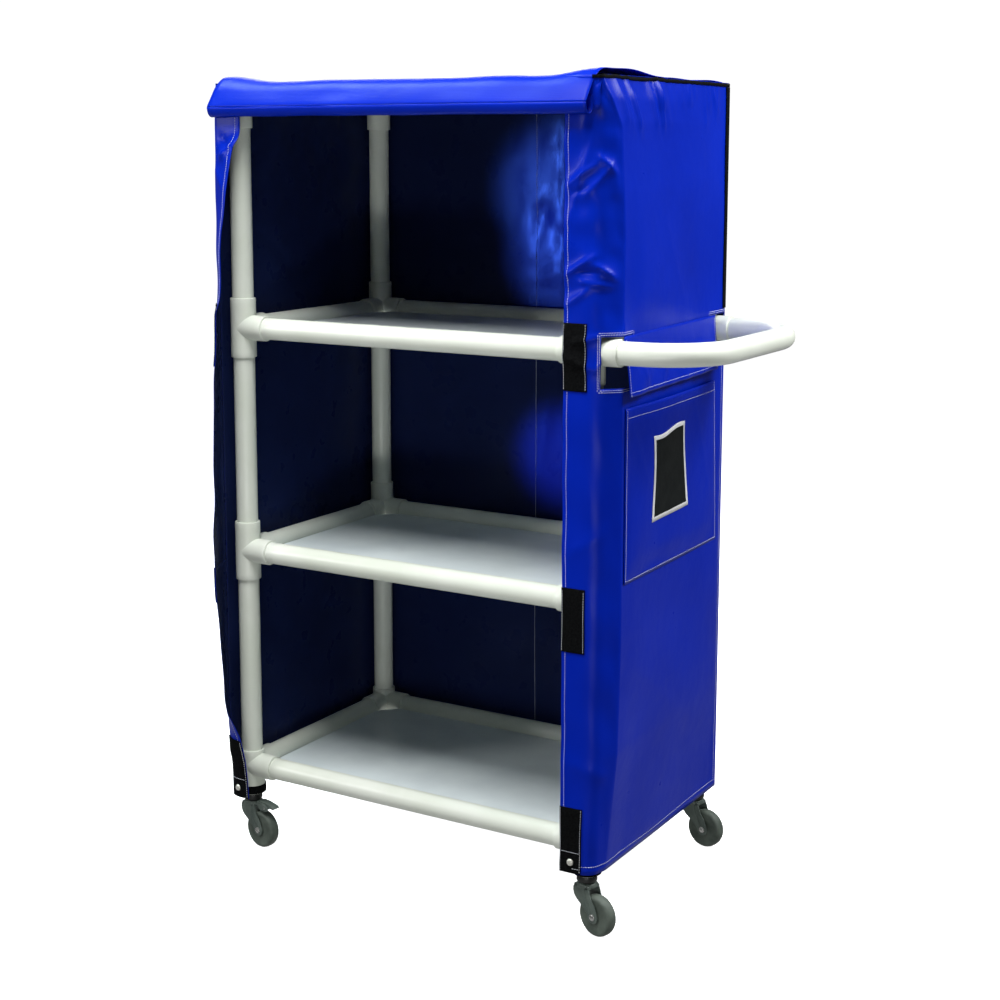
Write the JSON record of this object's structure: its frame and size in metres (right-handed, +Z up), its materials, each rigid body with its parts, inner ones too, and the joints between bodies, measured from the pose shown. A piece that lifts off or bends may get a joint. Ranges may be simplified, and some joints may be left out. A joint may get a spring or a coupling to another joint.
{
  "type": "linen trolley",
  "caption": "Tall linen trolley: plastic pipe frame with flat shelves and a push handle on swivel casters, in a vinyl cover whose front curtain is thrown back over the top.",
  "frame": {"origin": "on the floor, at the middle of the footprint", "axes": "+Z up; the open front faces -Y; the push handle is on the +X end"},
  "size_m": [1.034, 0.6086, 1.5412],
  "materials": {
    "pipe_plastic": "off-white, slightly glossy plastic pipe",
    "panel_plastic": "white sheet plastic",
    "vinyl": "glossy royal blue vinyl with a fine grain",
    "label_plastic": "black film with a white border line",
    "hook_tape": "black hook tape and webbing",
    "stud_metal": "nickel-plated",
    "caster_plastic": "dark grey nylon",
    "axle_steel": "zinc-plated",
    "hub_plastic": "grey nylon",
    "tyre_rubber": "dark grey rubber"
  },
  "bodies": {
    "frame": {"post_fl": "pipe_plastic", "post_fr": "pipe_plastic", "post_rl": "pipe_plastic", "post_rr": "pipe_plastic", "rail_low_front": "pipe_plastic", "rail_low_rear": "pipe_plastic", "rail_low_left": "pipe_plastic", "rail_low_right": "pipe_plastic", "rail_mid_front": "pipe_plastic", "rail_mid_rear": "pipe_plastic", "rail_mid_left": "pipe_plastic", "rail_mid_right": "pipe_plastic", "rail_high_front": "pipe_plastic", "rail_high_rear": "pipe_plastic", "rail_high_left": "pipe_plastic", "rail_high_right": "pipe_plastic", "rail_top_front": "pipe_plastic", "rail_top_rear": "pipe_plastic", "rail_top_left": "pipe_plastic", "rail_top_right": "pipe_plastic", "handle": "pipe_plastic", "shelf_panel_low": "panel_plastic", "shelf_panel_mid": "panel_plastic", "shelf_panel_high": "panel_plastic", "cover_left": "vinyl", "cover_right": "vinyl", "cover_back": "vinyl", "cover_top": "vinyl", "pocket": "vinyl", "label": "label_plastic", "hook_patch_high_right": "hook_tape", "hook_patch_mid_right": "hook_tape", "corner_strap_right": "hook_tape", "corner_strap_left": "hook_tape", "snap_stud_left": "stud_metal", "snap_stud_right": "stud_metal"},
    "strip_left": {"strip_left": "vinyl", "hook_patch_high_left": "hook_tape", "hook_patch_mid_left": "hook_tape"},
    "curtain_leg": {"curtain_leg": "vinyl"},
    "curtain_top": {"curtain_top": "vinyl"},
    "curtain_drop": {"curtain_drop": "vinyl"},
    "handle_flap": {"handle_flap": "vinyl"},
    "brake_fl": {"brake_pedal_fl": "caster_plastic"},
    "fork_fl": {"caster_fork_fl": "caster_plastic", "caster_axle_fl": "axle_steel"},
    "wheel_fl": {"wheel_hub_fl": "hub_plastic", "tyre_fl": "tyre_rubber"},
    "fork_fr": {"caster_fork_fr": "caster_plastic", "caster_axle_fr": "axle_steel"},
    "wheel_fr": {"wheel_hub_fr": "hub_plastic", "tyre_fr": "tyre_rubber"},
    "fork_rl": {"caster_fork_rl": "caster_plastic", "caster_axle_rl": "axle_steel"},
    "wheel_rl": {"wheel_hub_rl": "hub_plastic", "tyre_rl": "tyre_rubber"},
    "fork_rr": {"caster_fork_rr": "caster_plastic", "caster_axle_rr": "axle_steel"},
    "wheel_rr": {"wheel_hub_rr": "hub_plastic", "tyre_rr": "tyre_rubber"}
  },
  "joints": [
    {"name": "swivel_fl", "type": "hinge", "parent": "frame", "child": "fork_fl", "pos_m": [-0.4862, -0.20391, 0.1], "axis": [0, 0, 1], "continuous": true},
    {"name": "roll_fl", "type": "hinge", "parent": "fork_fl", "child": "wheel_fl", "pos_m": [-0.45854, -0.20829, 0.0381], "axis": [0.1564, 0.9877, 0], "continuous": true},
    {"name": "swivel_fr", "type": "hinge", "parent": "frame", "child": "fork_fr", "pos_m": [0.2878, -0.20391, 0.1], "axis": [0, 0, 1], "continuous": true},
    {"name": "roll_fr", "type": "hinge", "parent": "fork_fr", "child": "wheel_fr", "pos_m": [0.31472, -0.21162, 0.0381], "axis": [0.2756, 0.9613, 0], "continuous": true},
    {"name": "swivel_rl", "type": "hinge", "parent": "frame", "child": "fork_rl", "pos_m": [-0.4862, 0.26809, 0.1], "axis": [0, 0, 1], "continuous": true},
    {"name": "roll_rl", "type": "hinge", "parent": "fork_rl", "child": "wheel_rl", "pos_m": [-0.45854, 0.26371, 0.0381], "axis": [0.1564, 0.9877, 0], "continuous": true},
    {"name": "swivel_rr", "type": "hinge", "parent": "frame", "child": "fork_rr", "pos_m": [0.2878, 0.26809, 0.1], "axis": [0, 0, 1], "continuous": true},
    {"name": "roll_rr", "type": "hinge", "parent": "fork_rr", "child": "wheel_rr", "pos_m": [0.31546, 0.26371, 0.0381], "axis": [0.1564, 0.9877, 0], "continuous": true},
    {"name": "brake_press_fl", "type": "hinge", "parent": "fork_fl", "child": "brake_fl", "pos_m": [-0.46299, -0.20758, 0.0935], "axis": [0.1564, 0.9877, 0], "range_deg": [0, 8]},
    {"name": "curtain_front_fold", "type": "hinge", "parent": "frame", "child": "curtain_leg", "pos_m": [-0.0992, -0.25326, 1.46705], "axis": [1, 0, 0], "range_deg": [0, 180]},
    {"name": "curtain_top_fold", "type": "hinge", "parent": "curtain_leg", "child": "curtain_top", "pos_m": [-0.0992, -0.26467, 1.53886], "axis": [1, 0, 0], "range_deg": [0, 90]},
    {"name": "curtain_rear_fold", "type": "hinge", "parent": "curtain_top", "child": "curtain_drop", "pos_m": [-0.0992, 0.30195, 1.53886], "axis": [1, 0, 0], "range_deg": [0, 90]},
    {"name": "strip_left_fold", "type": "hinge", "parent": "frame", "child": "strip_left", "pos_m": [-0.5163, -0.23651, 0.85], "axis": [0, 0, 1], "range_deg": [0, 68]},
    {"name": "handle_flap_hinge", "type": "hinge", "parent": "frame", "child": "handle_flap", "pos_m": [0.33415, 0.0426, 1.0936], "axis": [0.0558, -0.9984, 0], "range_deg": [0, 170]}
  ]
}
